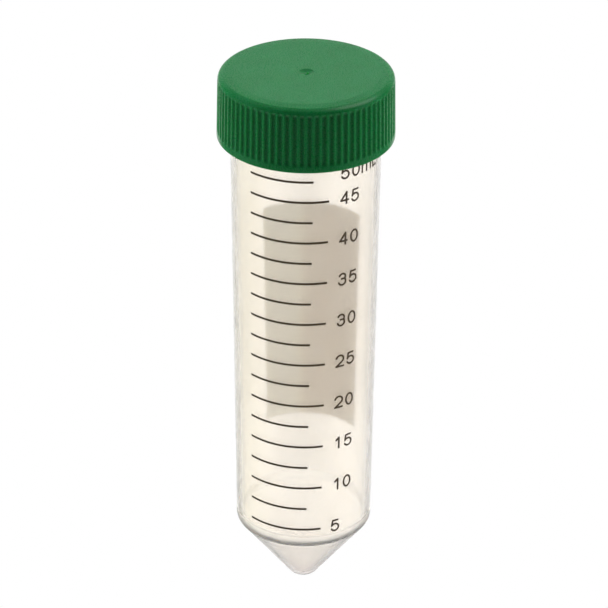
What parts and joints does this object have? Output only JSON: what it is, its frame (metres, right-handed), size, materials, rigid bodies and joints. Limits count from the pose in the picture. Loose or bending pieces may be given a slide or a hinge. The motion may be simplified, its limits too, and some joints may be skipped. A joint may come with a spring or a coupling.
{
  "type": "conical centrifuge tube with screw cap",
  "caption": "Translucent conical-bottomed lab tube with a printed volume scale, a writing patch and a ribbed screw cap that unscrews.",
  "frame": {"origin": "lowest point of the rounded tip, on the tube's axis", "axes": "+Z along the tube's axis, up through the cap; -Y towards the printed volume scale; +X to the scale's right"},
  "size_m": [0.0346, 0.0346, 0.1145],
  "materials": {
    "clear_polypropylene": "satin",
    "green_polyethylene": "satin",
    "seal_elastomer": "matte",
    "printing_ink": "matte",
    "patch_ink": "matte"
  },
  "bodies": {
    "tube": {"tube": "clear_polypropylene", "writing_patch": "patch_ink", "graduation_05_0": "printing_ink", "graduation_07_5": "printing_ink", "graduation_10_0": "printing_ink", "graduation_12_5": "printing_ink", "graduation_15_0": "printing_ink", "graduation_17_5": "printing_ink", "graduation_20_0": "printing_ink", "graduation_22_5": "printing_ink", "graduation_25_0": "printing_ink", "graduation_27_5": "printing_ink", "graduation_30_0": "printing_ink", "graduation_32_5": "printing_ink", "graduation_35_0": "printing_ink", "graduation_37_5": "printing_ink", "graduation_40_0": "printing_ink", "graduation_42_5": "printing_ink", "graduation_45_0": "printing_ink", "graduation_47_5": "printing_ink", "graduation_50_0": "printing_ink", "numeral_05": "printing_ink", "numeral_10": "printing_ink", "numeral_15": "printing_ink", "numeral_20": "printing_ink", "numeral_25": "printing_ink", "numeral_30": "printing_ink", "numeral_35": "printing_ink", "numeral_40": "printing_ink", "numeral_45": "printing_ink", "numeral_50_ml": "printing_ink"},
    "seal": {"cap_seal": "seal_elastomer"},
    "cap": {"screw_cap": "green_polyethylene"}
  },
  "joints": [
    {"name": "cap_rise", "type": "slide", "parent": "tube", "child": "seal", "axis": [0, 0, 1], "range_m": [0, 0.01575]},
    {"name": "cap_turn", "type": "hinge", "parent": "seal", "child": "cap", "pos_m": [0, 0, 0.1079], "axis": [0, 0, 1], "range_deg": [0, 810]}
  ],
  "couplings": [
    {"joint": "cap_rise", "follows": "cap_turn", "m_per_rad": 0.0011141}
  ]
}
